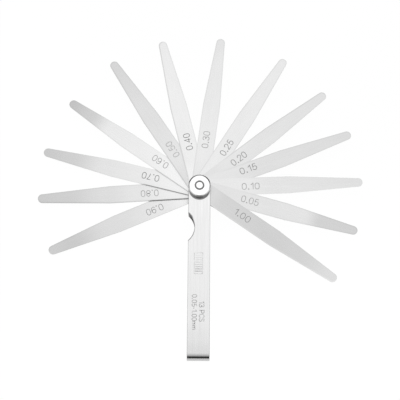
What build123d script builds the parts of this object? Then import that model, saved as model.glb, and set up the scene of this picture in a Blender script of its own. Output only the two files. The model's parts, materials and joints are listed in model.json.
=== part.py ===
from build123d import *
import os
from math import acos, atan2, cos, pi, radians, sin

# Feeler gauge: thirteen steel leaves that swing on one screw inside a folded steel case.
# The gauge lies on its back. +Z runs along the pivot screw towards the knurled nut, and the
# closed case runs along -Y. The origin is on the pivot axis, at the face of the screw's head.
# Millimetres and degrees.

# ---------------------------------------------------------------- driving dimensions
# leaves, from the back of the stack to the front: thickness, heading and reach.
# A heading is the way the leaf points when the gauge is fanned out, clockwise from +Y.
# A reach is from the pivot axis to the tip: nominally 100, and a little different on each leaf.
LEAVES = [
    (0.90, -113.5, 99.5),
    (0.80, -93.9, 99.6),
    (0.70, -76.4, 99.7),
    (0.60, -55.6, 99.1),
    (0.50, -34.1, 100.1),
    (0.40, -14.3, 100.0),
    (0.30, 7.5, 99.8),
    (0.25, 32.1, 100.4),
    (0.20, 51.7, 100.0),
    (0.15, 69.3, 100.2),
    (0.10, 87.5, 100.2),
    (0.05, 105.6, 99.6),
    (1.00, 124.7, 100.0),
]
leaf_width = 10.8
leaf_straight = 55.0        # pivot axis to the start of the taper
leaf_tip_radius = 2.7
leaf_gap = 0.04             # free space beside each leaf

case_width = 13.3
case_wall = 0.7
case_reach = 105.3          # pivot axis to the outside of the fold
case_edge_round = 0.25

notch_centre = 25.0         # pivot axis to the middle of the thumb notch
notch_depth = 3.8
notch_radius = 10.9
notch_corner = 0.3

screw_diameter = 5.0
running_clearance = 0.05    # radial, between the screw and everything that turns on it
head_diameter = 12.0
head_height = 1.6
head_round = 0.5
slot_width = 1.2
slot_depth = 0.8
screw_end_chamfer = 0.5

washer_diameter = 11.0
washer_thickness = 0.5
washer_chamfer = 0.08
seat_gap = 0.02             # between the washer, the case and the nut

nut_diameter = 13.7
nut_height = 3.7
nut_chamfer = 0.55
nut_mouth_chamfer = 0.45    # where the screw's end shows
knurl_teeth = 72
knurl_depth = 0.28
knurl_crest = 0.3           # share of one tooth's pitch that is left flat on top

# ---------------------------------------------------------------- worked out from them
stack_height = sum(thickness for thickness, heading, reach in LEAVES) + (len(LEAVES) + 1) * leaf_gap
back_outside = head_height
back_inside = back_outside + case_wall
front_inside = back_inside + stack_height
front_outside = front_inside + case_wall
fold_radius = (front_outside - back_outside) / 2
fold_y = -(case_reach - fold_radius)
fold_z = (front_outside + back_outside) / 2
washer_bottom = front_outside + seat_gap
nut_bottom = washer_bottom + washer_thickness + seat_gap
nut_top = nut_bottom + nut_height
hole_radius = screw_diameter / 2 + running_clearance
notch_x = notch_depth - case_width / 2 - notch_radius

os.makedirs("parts", exist_ok=True)


def save(piece, label):
    piece.label = label
    export_step(piece, f"parts/{label}.step")


# ---------------------------------------------------------------- folded case
def folded_strip():
    """Side view of the strip: back plate, round fold at the far end, front plate."""
    with BuildSketch() as side_view:
        with BuildLine():
            Line((0, back_outside), (fold_y, back_outside))
            ThreePointArc((fold_y, back_outside), (-case_reach, fold_z), (fold_y, front_outside))
            Line((fold_y, front_outside), (0, front_outside))
            Line((0, front_outside), (0, front_inside))
            Line((0, front_inside), (fold_y, front_inside))
            ThreePointArc((fold_y, front_inside), (case_wall - case_reach, fold_z), (fold_y, back_inside))
            Line((fold_y, back_inside), (0, back_inside))
            Line((0, back_inside), (0, back_outside))
        make_face()
    return side_view.sketch


with BuildPart() as case:
    with BuildSketch(Plane.YZ.offset(-case_width / 2)):
        add(folded_strip())
    extrude(amount=case_width)
    with BuildSketch(Plane.XY.offset(back_outside)):
        Circle(case_width / 2)
    extrude(amount=case_wall)
    with BuildSketch(Plane.XY.offset(front_inside)):
        Circle(case_width / 2)
    extrude(amount=case_wall)
    with BuildSketch(Plane.XY):
        Circle(hole_radius)
    extrude(amount=front_outside, mode=Mode.SUBTRACT)
    with BuildSketch(Plane.XY):
        with Locations((notch_x, -notch_centre)):
            Circle(notch_radius)
    extrude(amount=front_outside, mode=Mode.SUBTRACT)
    notch_corners = (
        case.edges()
        .filter_by(Axis.Z)
        .filter_by_position(Axis.X, -case_width / 2 - 0.01, -case_width / 2 + 0.01)
        .filter_by_position(Axis.Y, -notch_centre - notch_radius, -notch_centre + notch_radius)
    )
    fillet(notch_corners, notch_corner)
    back_skin = case.faces().sort_by(Axis.Z)[0]
    front_skin = case.faces().sort_by(Axis.Z)[-1]
    fold_skin = case.faces().sort_by(Axis.Y)[0]
    skin_edges = back_skin.outer_wire().edges() + front_skin.outer_wire().edges() + fold_skin.edges()
    fillet(skin_edges.filter_by(Axis.X, reverse=True), case_edge_round)
save(case.part, "case")


# ---------------------------------------------------------------- leaves
def leaf_outline(reach):
    """Round root about the pivot hole, parallel sides, a long taper and a round tip, along +Y."""
    half_width = leaf_width / 2
    tip_y = reach - leaf_tip_radius
    away = ((tip_y - leaf_straight) ** 2 + half_width**2) ** 0.5
    turn = atan2(leaf_straight - tip_y, half_width) + acos(leaf_tip_radius / away)
    touch_x = leaf_tip_radius * cos(turn)
    touch_y = tip_y + leaf_tip_radius * sin(turn)
    with BuildSketch() as outline:
        with BuildLine():
            Line((half_width, 0), (half_width, leaf_straight))
            Line((half_width, leaf_straight), (touch_x, touch_y))
            ThreePointArc((touch_x, touch_y), (0, reach), (-touch_x, touch_y))
            Line((-touch_x, touch_y), (-half_width, leaf_straight))
            Line((-half_width, leaf_straight), (-half_width, 0))
            ThreePointArc((-half_width, 0), (0, -half_width), (half_width, 0))
        make_face()
        Circle(hole_radius, mode=Mode.SUBTRACT)
    return outline.sketch


leaf_bottom = back_inside + leaf_gap
for thickness, heading, reach in LEAVES:
    with BuildPart() as leaf:
        with BuildSketch(Plane((0, 0, leaf_bottom)).rotated((0, 0, -heading))):
            add(leaf_outline(reach))
        extrude(amount=thickness)
    save(leaf.part, f"leaf_{thickness:.2f}".replace(".", "_"))
    leaf_bottom += thickness + leaf_gap


# ---------------------------------------------------------------- pivot screw
with BuildPart() as pivot_screw:
    with BuildSketch(Plane.XY):
        Circle(head_diameter / 2)
    extrude(amount=head_height)
    fillet(pivot_screw.edges().sort_by(Axis.Z)[0], head_round)
    with BuildSketch(Plane.XY):
        Rectangle(head_diameter, slot_width, rotation=30)
    extrude(amount=slot_depth, mode=Mode.SUBTRACT)
    with BuildSketch(Plane.XY.offset(head_height)):
        Circle(screw_diameter / 2)
    extrude(amount=nut_top - head_height)
    chamfer(pivot_screw.edges().sort_by(Axis.Z)[-1], screw_end_chamfer)
save(pivot_screw.part, "pivot_screw")


# ---------------------------------------------------------------- washer
with BuildPart() as washer:
    with BuildSketch(Plane.XY.offset(washer_bottom)):
        Circle(washer_diameter / 2)
        Circle(hole_radius, mode=Mode.SUBTRACT)
    extrude(amount=washer_thickness)
    outer_rims = washer.edges().filter_by(GeomType.CIRCLE).sort_by(SortBy.RADIUS)[-2:]
    chamfer(outer_rims, washer_chamfer)
save(washer.part, "washer")


# ---------------------------------------------------------------- knurled nut
def knurl_outline():
    """Straight knurl: flat-topped teeth with V grooves between them."""
    crest_radius = nut_diameter / 2
    root_radius = crest_radius - knurl_depth
    pitch = 2 * pi / knurl_teeth
    corners = []
    for tooth in range(knurl_teeth):
        middle = tooth * pitch
        for radius, angle in (
            (crest_radius, middle - knurl_crest * pitch / 2),
            (crest_radius, middle + knurl_crest * pitch / 2),
            (root_radius, middle + pitch / 2),
        ):
            corners.append((radius * cos(angle), radius * sin(angle)))
    with BuildSketch() as outline:
        with BuildLine():
            Polyline(*corners, close=True)
        make_face()
    return outline.sketch


with BuildPart() as knurled_nut:
    with BuildSketch(Plane.XY.offset(nut_bottom)):
        add(knurl_outline())
    extrude(amount=nut_height)
    with BuildSketch(Plane.XZ):
        with BuildLine():
            Polyline(
                (hole_radius, nut_bottom),
                (nut_diameter / 2 - nut_chamfer, nut_bottom),
                (nut_diameter / 2, nut_bottom + nut_chamfer),
                (nut_diameter / 2, nut_top - nut_chamfer),
                (nut_diameter / 2 - nut_chamfer, nut_top),
                (hole_radius + nut_mouth_chamfer, nut_top),
                (hole_radius, nut_top - nut_mouth_chamfer),
                close=True,
            )
        make_face()
    revolve(axis=Axis.Z, mode=Mode.INTERSECT)
save(knurled_nut.part, "knurled_nut")
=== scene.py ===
import json
import math
from collections import namedtuple

import bmesh
import bpy
from mathutils import Matrix, Vector


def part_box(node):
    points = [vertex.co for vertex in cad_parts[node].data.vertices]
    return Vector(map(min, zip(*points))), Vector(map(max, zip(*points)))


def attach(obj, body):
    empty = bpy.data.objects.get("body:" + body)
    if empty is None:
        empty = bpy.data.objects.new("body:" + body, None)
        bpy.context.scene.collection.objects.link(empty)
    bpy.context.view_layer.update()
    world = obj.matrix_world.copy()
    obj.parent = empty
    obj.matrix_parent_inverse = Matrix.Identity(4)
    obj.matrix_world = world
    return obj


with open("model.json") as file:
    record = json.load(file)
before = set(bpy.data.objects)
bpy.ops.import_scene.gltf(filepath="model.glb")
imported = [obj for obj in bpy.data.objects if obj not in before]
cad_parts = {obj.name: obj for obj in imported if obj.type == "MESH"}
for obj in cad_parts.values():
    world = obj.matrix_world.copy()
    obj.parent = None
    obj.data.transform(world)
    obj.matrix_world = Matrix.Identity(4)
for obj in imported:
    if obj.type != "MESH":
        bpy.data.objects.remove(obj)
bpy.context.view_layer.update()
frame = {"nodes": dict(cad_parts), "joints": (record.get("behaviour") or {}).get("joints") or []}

# Looks of a feeler gauge: thirteen etched steel leaves fanned out on a knurled nut and a screw,
# in a folded case of brushed strip. The frame's axes: +Z along the pivot axis, and the case along
# -Y from the pivot. Blender works in metres, but the shaders and the figures work in mm, and
# "along" is a distance out from the pivot and "across" one to the clockwise side of a piece.

MM = 0.001
nodes = frame["nodes"]

# ---------------------------------------------------------------- places taken from the frame
case_low, case_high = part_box("case")
nut_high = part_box("knurled_nut")[1]
case_heading = 180              # headings are clockwise from +Y, in degrees
HEADINGS = {                    # where each leaf points
    joint["child"]: case_heading + joint["range_deg"][0]
    for joint in frame["joints"]
    if joint["child"].startswith("leaf_")
}
leaf_boxes = [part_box(leaf) for leaf in HEADINGS]
stack_middle = sum(low.z + high.z for low, high in leaf_boxes) / 2 / len(leaf_boxes)
nut_radius = nut_high.x / MM
case_half_width = case_high.x / MM
case_bottom = case_low.z / MM
case_top = case_high.z / MM

# ---------------------------------------------------------------- sizes of the CAD pieces, in mm
leaf_half_width = 5.4
leaf_straight = 55.0            # where the taper starts
tip_radius = 2.7
notch_radius = 10.9             # thumb notch: its radius, and its centre from the pivot
notch_along = 25.0
notch_across = case_half_width + notch_radius - 3.8
fold_start = 100.6              # where the case's plates turn into its round end
wall = 0.7

# ---------------------------------------------------------------- tones, from 0 black to 1 white
# Each leaf comes from its own strip of spring steel.
# tones: grey from root to tip, as (along, grey), a painted reflection that differs from leaf to leaf.
# rims: the tone of the face beside its left and its right edge, looking outwards, as a share of
#     the rest, and how far out that begins: painted shade along the edges, light where above 1.
# edge: the tone of the sheared edge near the case and further out, painted shade darkest near
#     the case, the tone of the strip of face along the left edge near the case, a painted shadow
#     where that edge lies over the next leaf, and where "near" ends.
# number: where the figures are centred, along and to the left. ink: their grey.
Leaf = namedtuple("Leaf", "tones rims edge number ink")
PLAIN_EDGE = (0.6, 0.6, 1.0, 20)
LEAVES = {
    "leaf_1_00": Leaf(
        [(8, 0.67), (18, 0.62), (55, 0.60), (72, 0.62), (98, 0.70)],
        (0.98, 1.06, 6), (1.0, 1.0, 1.0, 20), (31.6, 0.4), 0.31),
    "leaf_0_05": Leaf(
        [(10, 0.72), (66, 0.73), (77, 0.61), (98, 0.61)],
        (0.91, 0.93, 30), PLAIN_EDGE, (31.9, 0.7), 0.4),
    "leaf_0_10": Leaf(
        [(10, 0.76), (24, 0.76), (46, 0.73), (98, 0.70)],
        (0.98, 1.0, 26), PLAIN_EDGE, (31.4, -0.1), 0.39),
    "leaf_0_15": Leaf(
        [(10, 0.74), (42, 0.695), (98, 0.67)],
        (0.93, 0.95, 18), PLAIN_EDGE, (32.4, 1.05), 0.245),
    "leaf_0_20": Leaf(
        [(10, 0.715), (24, 0.73), (98, 0.70)],
        (0.87, 0.95, 24), PLAIN_EDGE, (30.7, 0.0), 0.28),
    "leaf_0_25": Leaf(
        [(10, 0.78), (45, 0.765), (98, 0.755)],
        (0.90, 0.92, 6), PLAIN_EDGE, (31.0, -0.15), 0.29),
    "leaf_0_30": Leaf(
        [(10, 0.755), (20, 0.77), (80, 0.745), (98, 0.715)],
        (0.92, 0.93, 6), PLAIN_EDGE, (31.6, 0.45), 0.4),
    "leaf_0_40": Leaf(
        [(10, 0.84), (20, 0.795), (60, 0.79), (98, 0.765)],
        (0.80, 0.92, 6), PLAIN_EDGE, (30.9, -0.2), 0.19),
    "leaf_0_50": Leaf(
        [(10, 0.70), (22, 0.73), (60, 0.69), (98, 0.625)],
        (0.88, 0.92, 6), PLAIN_EDGE, (30.3, -0.05), 0.45),
    "leaf_0_60": Leaf(
        [(10, 0.85), (45, 0.79), (68, 0.765), (83, 0.58), (98, 0.51)],
        (0.93, 0.96, 6), (0.6, 0.85, 0.85, 30), (29.9, -0.4), 0.38),
    "leaf_0_70": Leaf(
        [(10, 0.82), (42, 0.76), (60, 0.725), (82, 0.59), (98, 0.555)],
        (0.96, 0.98, 6), (0.5, 0.95, 0.45, 33.5), (31.25, -0.25), 0.245),
    "leaf_0_80": Leaf(
        [(10, 0.81), (40, 0.74), (58, 0.68), (84, 0.585), (98, 0.57)],
        (0.90, 0.93, 6), (0.05, 0.5, 0.45, 31), (30.8, 0.6), 0.41),
    "leaf_0_90": Leaf(
        [(10, 0.83), (24, 0.75), (60, 0.68), (86, 0.56), (98, 0.585)],
        (1.0, 0.93, 6), (0.65, 0.65, 1.0, 20), (30.25, 0.9), 0.385),
}
leaf_tones_length = 100.0       # past the last place in any leaf's tones
# The case's grey along its length, a painted reflection, darker towards the fold.
CASE_TONES = [(6, 0.835), (25, 0.805), (58, 0.785), (70, 0.775), (80, 0.785), (92, 0.74), (100, 0.69)]
case_tones_length = 105.0
NUT_RIM_LIGHT_AND_SHADE = [               # round the nut's rim, from the case's side, 0, to the far side, 1: painted light on the case's side, painted shade further round
    (0.0, 0.98), (0.25, 0.98), (0.42, 0.42), (0.55, 0.40), (0.72, 0.01), (0.90, 0.01), (1.0, 0.3),
]
nut_rim = 0.82                  # how wide that rim is


# ---------------------------------------------------------------- small helpers for nodes
class Graph:
    """Short names for making and joining shader nodes."""

    def __init__(self, tree):
        self.tree = tree
        tree.nodes.clear()

    def node(self, kind, **settings):
        made = self.tree.nodes.new(kind)
        for key, value in settings.items():
            setattr(made, key, value)
        return made

    def join(self, source, target):
        self.tree.links.new(source, target)

    def feed(self, socket, value):
        """Sets a socket to a number, or links it to another node's output."""
        if isinstance(value, bpy.types.NodeSocket):
            self.join(value, socket)
        else:
            socket.default_value = value

    def math(self, operation, first, second=0.0, third=0.0):
        made = self.node("ShaderNodeMath", operation=operation)
        for socket, value in zip(made.inputs, (first, second, third)):
            self.feed(socket, value)
        return made.outputs[0]

    def product(self, first, *others):
        for other in others:
            first = self.math("MULTIPLY", first, other)
        return first

    def step(self, value, low, high, out_low=0.0, out_high=1.0):
        """A smooth step from out_low at low to out_high at high."""
        made = self.node("ShaderNodeMapRange", interpolation_type="SMOOTHSTEP")
        self.feed(made.inputs["Value"], value)
        made.inputs["From Min"].default_value = low
        made.inputs["From Max"].default_value = high
        made.inputs["To Min"].default_value = out_low
        made.inputs["To Max"].default_value = out_high
        return made.outputs["Result"]

    def band(self, value, low, high, soft, inside):
        """1, and inside between low and high, with edges soft wide."""
        rise = self.step(value, low - soft / 2, low + soft / 2)
        fall = self.step(value, high - soft / 2, high + soft / 2, 1.0, 0.0)
        return self.blend(self.product(rise, fall), 1.0, inside)

    def noise(self, vector, scale, detail=2.0, roughness=0.5):
        made = self.node("ShaderNodeTexNoise")
        self.join(vector, made.inputs["Vector"])
        made.inputs["Scale"].default_value = scale
        made.inputs["Detail"].default_value = detail
        made.inputs["Roughness"].default_value = roughness
        return made.outputs["Fac"]

    def split(self, vector):
        made = self.node("ShaderNodeSeparateXYZ")
        self.join(vector, made.inputs[0])
        return made.outputs

    def merge(self, x, y, z):
        made = self.node("ShaderNodeCombineXYZ")
        for socket, value in zip(made.inputs, (x, y, z)):
            self.feed(socket, value)
        return made.outputs[0]

    def grey(self, value):
        return self.merge(value, value, value)

    def length(self, x, y):
        return self.math("SQRT", self.math("ADD", self.product(x, x), self.product(y, y)))

    def blend(self, share, first, second):
        """first where share is 0, second where it is 1."""
        made = self.node("ShaderNodeMix", data_type="FLOAT")
        self.feed(made.inputs["Factor"], share)
        self.feed(made.inputs["A"], first)
        self.feed(made.inputs["B"], second)
        return made.outputs["Result"]

    def place(self):
        return self.node("ShaderNodeTexCoord").outputs["Object"]

    def surface(self, shader):
        output = self.node("ShaderNodeOutputMaterial")
        self.join(shader.outputs[0], output.inputs["Surface"])


def new_material(name):
    material = bpy.data.materials.new(name)
    material.use_nodes = True
    return material, Graph(material.node_tree)


def finish_metal(graph, colour, roughness, height, bump_strength, anisotropic=0.0):
    """A metal shader with a fine bump. colour is a grey, from nodes as roughness and height are."""
    shader = graph.node("ShaderNodeBsdfPrincipled")
    shader.inputs["Metallic"].default_value = 1.0
    graph.join(graph.grey(colour), shader.inputs["Base Color"])
    graph.feed(shader.inputs["Roughness"], roughness)
    bump = graph.node("ShaderNodeBump")
    bump.inputs["Strength"].default_value = bump_strength
    bump.inputs["Distance"].default_value = 0.01 * MM
    graph.join(height, bump.inputs["Height"])
    graph.join(bump.outputs[0], shader.inputs["Normal"])
    if anisotropic:
        shader.inputs["Anisotropic"].default_value = anisotropic
        shader.inputs["Anisotropic Rotation"].default_value = 0.25
        tangent = graph.node("ShaderNodeTangent", direction_type="RADIAL", axis="Z")
        graph.join(tangent.outputs[0], shader.inputs["Tangent"])
    graph.surface(shader)


def turned(graph, vector, heading, unit):
    """A vector's parts along a heading, across it and up, in units of unit."""
    x, y, z = graph.split(vector)
    east = math.sin(math.radians(heading)) / unit
    north = math.cos(math.radians(heading)) / unit
    along = graph.math("ADD", graph.math("MULTIPLY", x, east), graph.math("MULTIPLY", y, north))
    across = graph.math("SUBTRACT", graph.math("MULTIPLY", x, north), graph.math("MULTIPLY", y, east))
    return along, across, graph.math("MULTIPLY", z, 1 / unit)


def tone_along(graph, along, stops, reach):
    """A smooth grey that changes along a piece. stops: (place, grey), with places up to reach."""
    ramp = graph.node("ShaderNodeValToRGB")
    ramp.color_ramp.interpolation = "EASE"
    elements = ramp.color_ramp.elements
    while len(elements) < len(stops):
        elements.new(0.5)
    for element, (place, value) in zip(elements, stops):
        element.position = place / reach
        element.color = (value, value, value, 1)
    graph.join(graph.math("DIVIDE", along, reach), ramp.inputs[0])
    return graph.split(ramp.outputs[0])[0]


# ---------------------------------------------------------------- steel strip: leaves and case
def strip_steel(name, heading, stops, reach, shape_tone, grain, roughness):
    """Ground strip with long fine scratches and clouding. heading: which way the strip runs.
    stops, reach: its tones, as tone_along takes them. grain: how far the fine scratches, the broad
    streaks and the clouds each move the tone. shape_tone adds what the outline does."""
    material, graph = new_material(name)
    place = turned(graph, graph.place(), heading, MM)
    along, across, height = place
    normal = turned(graph, graph.node("ShaderNodeNewGeometry").outputs["True Normal"], heading, 1.0)
    long_along = graph.math("MULTIPLY", along, 0.12)
    long_across = graph.math("MULTIPLY", across, 14.0)
    fine = graph.noise(graph.merge(long_across, long_along, height), 1.0, 3, 0.7)
    wide_along = graph.math("MULTIPLY", along, 0.03)
    wide_across = graph.math("MULTIPLY", across, 1.6)
    broad = graph.noise(graph.merge(wide_across, wide_along, height), 1.0, 2)
    cloud = graph.noise(graph.merge(across, graph.math("MULTIPLY", along, 0.4), height), 0.14, 3, 0.6)
    tone = graph.product(
        tone_along(graph, along, stops, reach),
        graph.step(fine, 0.25, 0.75, 1 - grain[0], 1 + grain[0]),
        graph.step(broad, 0.3, 0.7, 1 - grain[1], 1 + grain[1]),
        graph.step(cloud, 0.3, 0.7, 1 - grain[2], 1 + grain[2]),
        shape_tone(graph, place, normal),
    )
    scratched = graph.step(fine, 0.2, 0.8, roughness - 0.04, roughness + 0.05)
    rough = graph.math("ADD", scratched, graph.step(cloud, 0.3, 0.7, -0.02, 0.03))
    finish_metal(graph, tone, rough, fine, bump_strength=0.25, anisotropic=0.4)
    return material


rim_fade = 6.0                  # over how long a leaf's rims fade in, each way
edge_fade = 2.0                 # and the tone of its edge changes


def leaf_shape_tone(leaf, reach):
    """A leaf's painted shade along its rims and on its sheared edge, with a painted shadow along its left
    edge near the case. reach: from the pivot to its tip, in mm.
    """
    near, far, gap_shadow, change = leaf.edge

    def tone(graph, place, normal):
        along, across = place[:2]
        middle = graph.math("MINIMUM", graph.math("MAXIMUM", along, 0.0), reach - tip_radius)
        tapered = graph.math("MAXIMUM", graph.math("SUBTRACT", middle, leaf_straight), 0.0)
        slope = (leaf_half_width - tip_radius) / (reach - tip_radius - leaf_straight)
        half_width = graph.math("SUBTRACT", leaf_half_width, graph.math("MULTIPLY", tapered, slope))
        beyond = graph.math("SUBTRACT", along, middle)
        inset = graph.math("SUBTRACT", half_width, graph.length(across, beyond))
        # Painted shade along the face's rims.
        left, right, root = leaf.rims
        side = graph.step(across, -0.5, 0.5, left, right)
        side = graph.blend(graph.step(along, root - rim_fade, root + rim_fade), 1.0, side)
        rim = graph.blend(graph.step(inset, 0.35, 0.95), side, 1.0)
        # The sheared edge is painted shade, darkest near the case, and the face along the left edge there
        # gets a painted shadow of the gap over the next leaf.
        near_case = graph.step(along, change - edge_fade, change + edge_fade, 1.0, 0.0)
        edge = graph.blend(near_case, far, near)
        on_left = graph.step(across, -0.5, 0.5, 1.0, 0.0)
        gap_shadow_line = graph.product(near_case, on_left, graph.step(inset, 0.2, 0.45, 1.0, 0.0))
        rim = graph.product(rim, graph.blend(gap_shadow_line, 1.0, gap_shadow))
        flat = graph.step(graph.math("ABSOLUTE", normal[2]), 0.55, 0.85)
        return graph.blend(flat, edge, rim)

    return tone


inner_tone = 0.12               # of the faces between the case's plates, as painted shade inside the case
case_edge = 0.10                # of its sheared edges, as painted shade
rim_by_nut = 0.72               # of the rim of its faces, up to the notch and past it, as painted shade along the edges
rim_by_fold = 0.86
fold_tone = 0.80                # of the bend below the top plate, a painted reflection, darker as the bend turns down
fold_dark = 0.14                # its darkest line, a painted dark reflection, by the upward part of the surface's normal
fold_dark_low = 0.72
fold_dark_high = 0.905
nut_shadow_tone = 0.34              # of the painted shadow on the top plate, just past the nut
nut_shadow_radius = 6.3
nut_shadow_shift = 1.6              # from the pivot to the middle of the painted shadow


def notch_tones(graph, along, across, within):
    """The thumb notch's rim, darkened as painted shade, and the painted shade on the plates' inner sides,
    past its rim. within: 1 between the plates and 0 outside."""
    out = graph.math("SUBTRACT", along, notch_along)
    aside = graph.math("SUBTRACT", across, notch_across)
    depth = graph.math("SUBTRACT", graph.length(aside, out), notch_radius)
    # Painted shade on the notch's rim, its depth changing along the notch.
    dark = graph.product(graph.step(out, -6.5, -3.0, 0.30, 0.62), graph.step(out, -1.0, 6.0, 1.0, 0.2))
    widened = graph.math("SUBTRACT", depth, graph.step(out, -7.0, -4.5, 0.4, 0.0))
    rim = graph.blend(graph.step(widened, 0.15, 0.6), dark, 1.0)
    # Painted shade on the plates' inner sides, lighter close to the notch.
    inner_shade = graph.blend(graph.product(within, graph.step(depth, 0.6, 1.3)), 1.0, inner_tone)
    return graph.blend(within, rim, 1.0), inner_shade


def painted_nut_shadow(graph, along, across, height):
    """A painted shadow of the nut on the top plate, which shows as a crescent past the nut."""
    on_top = graph.step(height, case_top - 0.1, case_top - 0.05)
    from_middle = graph.length(graph.math("SUBTRACT", along, nut_shadow_shift), across)
    shadow_ring = graph.step(from_middle, nut_shadow_radius, nut_shadow_radius + 0.3, nut_shadow_tone, 1.0)
    return graph.blend(on_top, 1.0, shadow_ring)


def case_shape_tone(graph, place, normal):
    """The case's painted shade along its rims, round its notch, on its sheared edges and on its inner side,
    a painted reflection across its fold, and a painted shadow past the nut.
    """
    along, across, height = place
    inset = graph.math("SUBTRACT", case_half_width, graph.length(across, graph.math("MINIMUM", along, 0.0)))
    # Painted shade along the rims of the faces, darker by the nut.
    rim = graph.step(along, 18, 24, rim_by_nut, rim_by_fold)
    rim = graph.blend(graph.step(inset, 0.12, 0.45), rim, 1.0)
    on_fold = graph.step(along, fold_start - 0.3, fold_start + 0.2)
    # Painted reflection on the fold: darker as it turns down, with a dark line across it.
    turn_down = graph.step(normal[2], 0.70, 0.98, fold_tone, 1.0)
    painted_fold_line = graph.band(normal[2], fold_dark_low, fold_dark_high, 0.08, fold_dark)
    fold_shade = graph.blend(on_fold, 1.0, graph.product(turn_down, painted_fold_line))
    above = graph.step(height, case_bottom + wall - 0.1, case_bottom + wall)
    below = graph.step(height, case_top - wall, case_top - wall + 0.1, 1.0, 0.0)
    within = graph.product(above, below, graph.math("SUBTRACT", 1.0, on_fold))
    notch_rim, inner_shade = notch_tones(graph, along, across, within)
    facing = graph.math("ABSOLUTE", normal[2])
    on_side = graph.step(graph.math("ABSOLUTE", normal[1]), 0.6, 0.8)
    flat = graph.math("MAXIMUM", graph.step(facing, 0.55, 0.85), on_fold)
    flat = graph.product(flat, graph.math("SUBTRACT", 1.0, on_side))
    # The sheared edges are painted shade.
    edge = graph.blend(flat, case_edge, 1.0)
    return graph.product(rim, notch_rim, fold_shade, inner_shade, painted_nut_shadow(graph, along, across, height), edge)


# ---------------------------------------------------------------- turned pieces
def turned_metal(name, tone, side_tone, chamfer_tone, groove, roughness, rim=None):
    """Bright turned metal: rings on the ends, chamfers darkened as painted shade, and the grooves of a
    knurl darkened with dirt and painted shade. groove: the radii where the side is darkest and where
    it has its full tone. rim, of a knurled piece: the radius where its rim starts, and the rim's
    grey from -Y round to +Y, as (place, grey), painted light and shade."""
    material, graph = new_material(name)
    along, across, z = turned(graph, graph.place(), 0, MM)
    radius = graph.length(along, across)
    rings_place = graph.merge(graph.math("MULTIPLY", radius, 9), graph.math("MULTIPLY", z, 3), 0.0)
    rings = graph.noise(rings_place, 1.0, 2, 0.6)
    specks = graph.noise(graph.merge(along, across, z), 1.3, 3, 0.6)
    normal = graph.split(graph.node("ShaderNodeNewGeometry").outputs["True Normal"])
    lean = graph.math("ABSOLUTE", normal[2])
    # The side darkens towards the bottoms of its grooves, with dirt and painted shade, and the chamfers are
    # painted shade.
    side = graph.product(graph.step(radius, *groove, 0.5, 1.0), side_tone)
    chamfer = chamfer_tone
    # A knurled piece's rim takes its grey by direction round it, painted light on one side and painted shade
    # on the other.
    if rim:
        rim_start, rim_tones = rim
        round_place = graph.math("MULTIPLY_ADD", graph.math("DIVIDE", along, radius), 0.5, 0.5)
        outer = graph.step(radius, rim_start - 0.1, rim_start + 0.1)
        rim_tone = tone_along(graph, round_place, rim_tones, 1.0)
        tone = graph.blend(outer, tone, rim_tone)
        chamfer = graph.blend(outer, chamfer_tone, rim_tone)
        side = graph.product(side, graph.step(specks, 0.3, 0.7, 0.75, 1.2))
    shade = graph.blend(graph.step(lean, 0.2, 0.5), side, chamfer)
    shade = graph.blend(graph.step(lean, 0.85, 0.97), shade, tone)
    shade = graph.product(shade, graph.step(specks, 0.3, 0.7, 0.95, 1.03))
    rough = graph.step(rings, 0.25, 0.75, roughness - 0.04, roughness + 0.05)
    finish_metal(graph, shade, rough, rings, bump_strength=0.2)
    return material


def etched_mark(name, tone):
    """The dark, slightly uneven bottom of an etched figure."""
    material, graph = new_material(name)
    place = graph.place()
    grain = graph.noise(place, 6 / MM, 3, 0.7)
    blotch = graph.noise(place, 0.5 / MM, 2)
    speckle = graph.step(grain, 0.25, 0.75, tone * 0.8, tone * 1.2)
    shader = graph.node("ShaderNodeBsdfPrincipled")
    shader.inputs["Metallic"].default_value = 0.9
    graph.join(graph.grey(graph.product(speckle, graph.step(blotch, 0.3, 0.7, 0.85, 1.15))),
               shader.inputs["Base Color"])
    graph.join(graph.step(grain, 0.2, 0.8, 0.5, 0.75), shader.inputs["Roughness"])
    graph.surface(shader)
    return material


def give(name, material):
    """Gives a CAD node its finished material."""
    data = nodes[name].data
    data.materials.clear()
    data.materials.append(material)


for name, leaf in LEAVES.items():
    reach = max(vertex.co.xy.length for vertex in nodes[name].data.vertices) / MM
    give(name, strip_steel(name + "_steel", HEADINGS[name], leaf.tones, leaf_tones_length,
                           leaf_shape_tone(leaf, reach), grain=(0.020, 0.008, 0.012), roughness=0.26))
give("case", strip_steel("case_steel", case_heading, CASE_TONES, case_tones_length, case_shape_tone,
                         grain=(0.012, 0.024, 0.010), roughness=0.20))
give("washer", turned_metal("washer_steel", tone=0.7, side_tone=0.25, chamfer_tone=0.4,
                            groove=(5.0, 5.4), roughness=0.3))
give("knurled_nut", turned_metal("nut_nickel", tone=0.97, side_tone=0.95, chamfer_tone=0.7,
                                 groove=(nut_radius - 0.25, nut_radius), roughness=0.16,
                                 rim=(nut_radius - nut_rim, NUT_RIM_LIGHT_AND_SHADE)))
give("pivot_screw", turned_metal("screw_nickel", tone=0.95, side_tone=0.3, chamfer_tone=0.32,
                                 groove=(0.0, 2.4), roughness=0.16))


# ---------------------------------------------------------------- edges of the CAD pieces
def soften(name, width):
    """A small rounded break on a CAD node's sharp edges."""
    bevel = nodes[name].modifiers.new("edge_break", "BEVEL")
    bevel.width = width
    bevel.segments = 2
    bevel.limit_method = "ANGLE"
    bevel.angle_limit = math.radians(40)
    bevel.harden_normals = False


largest_break = 0.06 * MM
for name in LEAVES:
    low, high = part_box(name)
    soften(name, min(largest_break, 0.25 * (high.z - low.z)))


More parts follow.
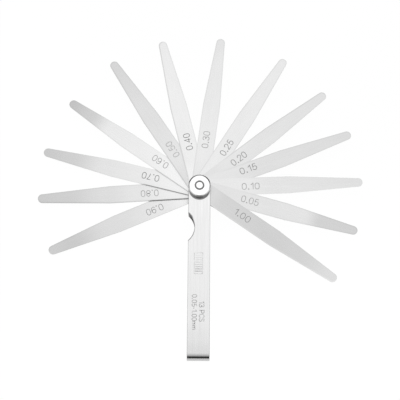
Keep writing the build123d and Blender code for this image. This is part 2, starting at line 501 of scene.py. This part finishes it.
# ---------------------------------------------------------------- etched figures
# Each figure is its width and its strokes, in shares of its height. A stroke is a line through its
# points: "bent" has corners at them, "round" curves through them, "loop" also closes and "dot" is
# a short thick one.
FIGURES = {
    "0": (0.56, [("loop", [(0.28, 0), (0.50, 0.13), (0.56, 0.5), (0.50, 0.87),
                           (0.28, 1), (0.06, 0.87), (0, 0.5), (0.06, 0.13)])]),
    "1": (0.34, [("bent", [(0, 0.74), (0.30, 1), (0.30, 0)])]),
    "2": (0.56, [("round", [(0.02, 0.72), (0.09, 0.92), (0.28, 1), (0.48, 0.92), (0.54, 0.72), (0.42, 0.46),
                            (0.14, 0.20), (0, 0)]), ("bent", [(0, 0), (0.56, 0)])]),
    "3": (0.56, [("round", [(0.02, 0.76), (0.10, 0.94), (0.28, 1), (0.46, 0.93), (0.52, 0.76), (0.44, 0.59),
                            (0.22, 0.53)]),
                 ("round", [(0.22, 0.53), (0.46, 0.46), (0.56, 0.28), (0.47, 0.07), (0.28, 0), (0.08, 0.07),
                            (0, 0.25)])]),
    "4": (0.58, [("bent", [(0.44, 0), (0.44, 1), (0, 0.29), (0.58, 0.29)])]),
    "5": (0.56, [("bent", [(0.52, 1), (0.12, 1), (0.05, 0.48)]),
                 ("round", [(0.05, 0.48), (0.29, 0.62), (0.50, 0.53), (0.56, 0.31), (0.48, 0.08), (0.27, 0),
                            (0.08, 0.06), (0, 0.25)])]),
    "6": (0.56, [("round", [(0.54, 0.78), (0.46, 0.95), (0.30, 1), (0.09, 0.86), (0.01, 0.48), (0.07, 0.13),
                            (0.29, 0), (0.49, 0.09), (0.56, 0.31), (0.49, 0.52), (0.30, 0.62), (0.10, 0.53),
                            (0.02, 0.36)])]),
    "7": (0.54, [("bent", [(0, 1), (0.54, 1)]), ("round", [(0.54, 1), (0.30, 0.58), (0.18, 0)])]),
    "8": (0.56, [("loop", [(0.28, 0.53), (0.08, 0.63), (0.04, 0.79), (0.28, 1), (0.52, 0.79), (0.48, 0.63)]),
                 ("loop", [(0.28, 0.53), (0.06, 0.43), (0, 0.26), (0.28, 0), (0.56, 0.26), (0.50, 0.43)])]),
    ".": (0.16, [("dot", [(0, 0.04), (0.16, 0.04)])]),
    "-": (0.30, [("bent", [(0, 0.40), (0.30, 0.40)])]),
    "P": (0.58, [("bent", [(0, 0), (0, 1), (0.30, 1)]),
                 ("round", [(0.30, 1), (0.50, 0.93), (0.58, 0.73), (0.50, 0.53), (0.30, 0.46), (0, 0.46)])]),
    "C": (0.62, [("round", [(0.61, 0.72), (0.51, 0.93), (0.32, 1), (0.08, 0.84), (0, 0.5), (0.08, 0.16),
                            (0.32, 0), (0.51, 0.07), (0.62, 0.30)])]),
    "S": (0.56, [("round", [(0.53, 0.74), (0.45, 0.94), (0.27, 1), (0.08, 0.92), (0.05, 0.70), (0.28, 0.54),
                            (0.51, 0.41), (0.55, 0.22), (0.45, 0.05), (0.26, 0), (0.07, 0.08), (0, 0.28)])]),
    "m": (0.80, [("bent", [(0, 0), (0, 0.72)]),
                 ("round", [(0, 0.50), (0.10, 0.68), (0.24, 0.72), (0.38, 0.64), (0.40, 0.48), (0.40, 0)]),
                 ("round", [(0.40, 0.50), (0.50, 0.68), (0.64, 0.72), (0.78, 0.64), (0.80, 0.48),
                            (0.80, 0)])]),
    " ": (0.20, []),
}
six_width, six_strokes = FIGURES["6"]
turned_six = [(six_width - x, 1 - y) for x, y in six_strokes[0][1]]
FIGURES["9"] = (six_width, [("round", turned_six)])
figure_gap = 0.22               # between two figures, in shares of their height
dot_width = 1.7                 # of a dot, in strokes
curve_cuts = 4                  # straight pieces between two points of a curved stroke


def curved(points, closed):
    """Points on a smooth curve through the given ones."""
    made = []
    count = len(points)
    for index in range(count if closed else count - 1):
        nearby = range(index - 1, index + 3)
        if closed:
            before, start, end, after = (points[place % count] for place in nearby)
        else:
            before, start, end, after = (points[min(max(place, 0), count - 1)] for place in nearby)
        for cut in range(curve_cuts):
            t = cut / curve_cuts
            pull = (end - before) * t + (2 * before - 5 * start + 4 * end - after) * t ** 2
            made.append(start + (pull + (3 * start - 3 * end + after - before) * t ** 3) / 2)
    return made if closed else made + [points[-1]]


def lay_stroke(shape, points, closed, width):
    """A flat bar 1 high that follows a line, as a closed shell."""
    count = len(points)
    rings = []
    for index, point in enumerate(points):
        before = points[index - 1] if closed or index else None
        after = points[(index + 1) % count] if closed or index < count - 1 else None
        steps = [(b - a).normalized() for a, b in ((before, point), (point, after)) if a and b]
        middle = sum(steps, Vector((0, 0))).normalized()
        reach = width / 2 / max(0.45, middle.dot(steps[0]))
        aside = Vector((-middle.y, middle.x)) * reach
        corners = [(point + side * aside, z) for side, z in ((1, 0.5), (-1, 0.5), (-1, -0.5), (1, -0.5))]
        rings.append([shape.verts.new((flat.x, flat.y, z)) for flat, z in corners])
    for index in range(count if closed else count - 1):
        here, there = rings[index], rings[(index + 1) % count]
        for corner in range(4):
            following = (corner + 1) % 4
            shape.faces.new((here[corner], here[following], there[following], there[corner]))
    if not closed:
        shape.faces.new(rings[0][::-1])
        shape.faces.new(rings[-1])


def figures_mesh(words, tall, long, stroke):
    """A line of figures as flat bars, tall by long mm, centred on the origin and 1 mm thick."""
    shape = bmesh.new()
    height = tall - stroke
    total = sum(FIGURES[word][0] for word in words) + figure_gap * (len(words) - 1)
    stretch = (long - stroke) / total
    pen = -total / 2
    for word in words:
        width, strokes = FIGURES[word]
        for kind, places in strokes:
            points = [Vector(((pen + x) * stretch, (y - 0.5) * height)) for x, y in places]
            closed = kind == "loop"
            if kind in ("round", "loop"):
                points = curved(points, closed)
            lay_stroke(shape, points, closed, stroke * (dot_width if kind == "dot" else 1))
        pen += width + figure_gap
    bmesh.ops.recalc_face_normals(shape, faces=shape.faces)
    mesh = bpy.data.meshes.new("figures")
    shape.to_mesh(mesh)
    shape.free()
    return mesh


def bars_mesh(length, width, line, bars):
    """A plain emblem of stepped thickness: a frame with bars in it that grow thicker, in mm.
    bars: how many, and how thick the first and the last one are."""
    count, thinnest, thickest = bars
    shape = bmesh.new()

    def bar(x, y, wide, high):
        made = bmesh.ops.create_cube(shape, size=1.0)
        bmesh.ops.scale(shape, vec=(wide, high, 1), verts=made["verts"])
        bmesh.ops.translate(shape, vec=(x, y, 0), verts=made["verts"])

    for end in (-1, 1):
        bar(0, end * (width - line) / 2, length, line)
        bar(end * (length - line) / 2, 0, line, width - 2 * line)
    pitch = (length - 2 * line) / (count + 1)
    for number in range(count):
        thick = thinnest + (thickest - thinnest) * number / (count - 1)
        bar((number + 1) * pitch - (length - 2 * line) / 2, 0, thick, width - 4 * line)
    mesh = bpy.data.meshes.new("bars")
    shape.to_mesh(mesh)
    shape.free()
    return mesh


mark_height = 0.015 * MM        # the figures stand a hair over the face, inside the leaves' gap
mark_depth = 0.010 * MM


def mesh_object(name, mesh):
    made = bpy.data.objects.new(name, mesh)
    bpy.context.scene.collection.objects.link(made)
    return made


def place_mark(name, mesh, heading, along, aside, body, material, slot):
    """Lays a mark on a body's upper face: it reads outwards along a heading, centred along mm
    from the pivot and aside mm to the left."""
    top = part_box(body)[1].z
    thickness = mark_height + mark_depth
    size = Matrix.Diagonal((MM, MM, thickness, 1))
    offset = Matrix.Translation((along * MM, aside * MM, 0))
    turn = Matrix.Rotation(math.radians(90 - heading), 4, "Z")
    lift = Matrix.Translation((0, 0, top - mark_depth + thickness / 2))
    mesh.transform(lift @ turn @ offset @ size)
    mesh.materials.append(material)
    made = mesh_object(name, mesh)
    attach(made, body)


leaf_figure_height = 4.2
leaf_figure_length = 10.9
leaf_figure_stroke = 0.36
for name, leaf in LEAVES.items():
    number = name[5:].replace("_", ".")
    figures = figures_mesh(number, leaf_figure_height, leaf_figure_length, leaf_figure_stroke)
    ink = etched_mark(name + "_ink", leaf.ink)
    place_mark("figure_" + name[5:], figures, HEADINGS[name], *leaf.number, name, ink, "leaf_steel")

case_ink = etched_mark("case_ink", 0.50)
emblem_ink = etched_mark("emblem_ink", 0.70)
CASE_MARKS = {                  # each mark's mesh, its middle along and to the left, and its ink
    "case_range": (figures_mesh("0.05-1.00", 3.2, 15.9, 0.42), 74.25, -2.5, case_ink),
    "case_unit": (figures_mesh("mm", 2.6, 5.0, 0.36), 84.9, -2.5, case_ink),
    "case_count": (figures_mesh("13 PCS", 3.4, 12.3, 0.42), 76.55, 1.85, case_ink),
    "case_emblem": (bars_mesh(13.1, 5.4, 0.32, (8, 0.12, 0.74)), 47.5, -0.24, emblem_ink),
}
for name, (mesh, along, aside, ink) in CASE_MARKS.items():
    place_mark(name, mesh, case_heading, along, aside, "case", ink, "case_steel")


# ---------------------------------------------------------------- floor, light and camera
floor_size = 3.0                # half its side, in metres
floor_drop = 0.05 * MM          # below the screw's head
floor_glow = 0.97               # lights the floor from itself
card_tone = 0.62                # of the grey card, as a share of the tent
camera_lens = 94.36             # for a sensor 36 mm wide
camera_distance = 642.4
camera_lean = 14.93             # degrees from straight above
camera_roll = 0.45
view_middle = (0.34, -7.33)     # what the camera points at, halfway up the leaves


def pale_floor():
    """A white table, lit so evenly that it shows next to no shadow."""
    material, graph = new_material("pale_floor")
    tint = graph.step(graph.noise(graph.place(), 2.0, 2), 0.3, 0.7, 0.03, 0.05)
    shader = graph.node("ShaderNodeBsdfPrincipled")
    graph.join(graph.grey(tint), shader.inputs["Base Color"])
    shader.inputs["Roughness"].default_value = 0.9
    shader.inputs["Specular IOR Level"].default_value = 0.0
    shader.inputs["Emission Color"].default_value = (1, 1, 1, 1)
    shader.inputs["Emission Strength"].default_value = floor_glow
    graph.surface(shader)
    shape = bmesh.new()
    bmesh.ops.create_grid(shape, x_segments=1, y_segments=1, size=floor_size)
    mesh = bpy.data.meshes.new("floor")
    shape.to_mesh(mesh)
    shape.free()
    mesh.materials.append(material)
    made = mesh_object("floor", mesh)
    made.location.z = -floor_drop


def studio_light():
    """A white tent over the table, with a narrow grey card low down past the case's end."""
    world = bpy.data.worlds.new("studio")
    world.use_nodes = True
    graph = Graph(world.node_tree)
    x, y, z = graph.split(graph.node("ShaderNodeTexCoord").outputs["Generated"])
    overhead = graph.product(graph.step(y, -0.5, 0.5, 0.92, 1.12), graph.step(z, 0.1, 0.75, 0.68, 1.0))
    narrow = graph.step(graph.math("ABSOLUTE", x), 0.25, 0.45, 1.0, 0.0)
    fall = graph.blend(narrow, 1.0, graph.step(y, -0.5, 0.05, card_tone, 1.0))
    front = graph.step(y, -0.75, -0.45, 1.0, 0.0)
    low = graph.product(graph.step(z, 0.05, 0.2), graph.step(z, 0.64, 0.8, 1.0, 0.0))
    card = graph.blend(graph.product(front, low, narrow), 1.0, card_tone)
    tent = graph.node("ShaderNodeBackground")
    graph.join(graph.product(overhead, fall, card), tent.inputs["Strength"])
    plain = graph.node("ShaderNodeBackground")
    plain.inputs["Strength"].default_value = 1.0
    for background in (tent, plain):
        background.inputs["Color"].default_value = (1, 1, 1, 1)
    pick = graph.node("ShaderNodeMixShader")
    graph.join(graph.node("ShaderNodeLightPath").outputs["Is Camera Ray"], pick.inputs[0])
    graph.join(tent.outputs[0], pick.inputs[1])
    graph.join(plain.outputs[0], pick.inputs[2])
    output = graph.node("ShaderNodeOutputWorld")
    graph.join(pick.outputs[0], output.inputs["Surface"])
    bpy.context.scene.world = world


def aim_camera():
    """Nearly overhead, leaning back towards the case's end."""
    data = bpy.data.cameras.new("camera")
    data.lens = camera_lens
    data.sensor_width = 36.0
    data.clip_start = 0.01
    camera = bpy.data.objects.new("camera", data)
    bpy.context.scene.collection.objects.link(camera)
    x, y = view_middle
    target = Matrix.Translation((x * MM, y * MM, stack_middle))
    roll = Matrix.Rotation(math.radians(camera_roll), 4, "Z")
    lean = Matrix.Rotation(math.radians(camera_lean), 4, "X")
    camera.matrix_world = target @ roll @ lean @ Matrix.Translation((0, 0, camera_distance * MM))
    bpy.context.scene.camera = camera


pale_floor()
studio_light()
aim_camera()
bpy.context.scene.view_settings.view_transform = "Standard"
bpy.context.scene.view_settings.look = "None"
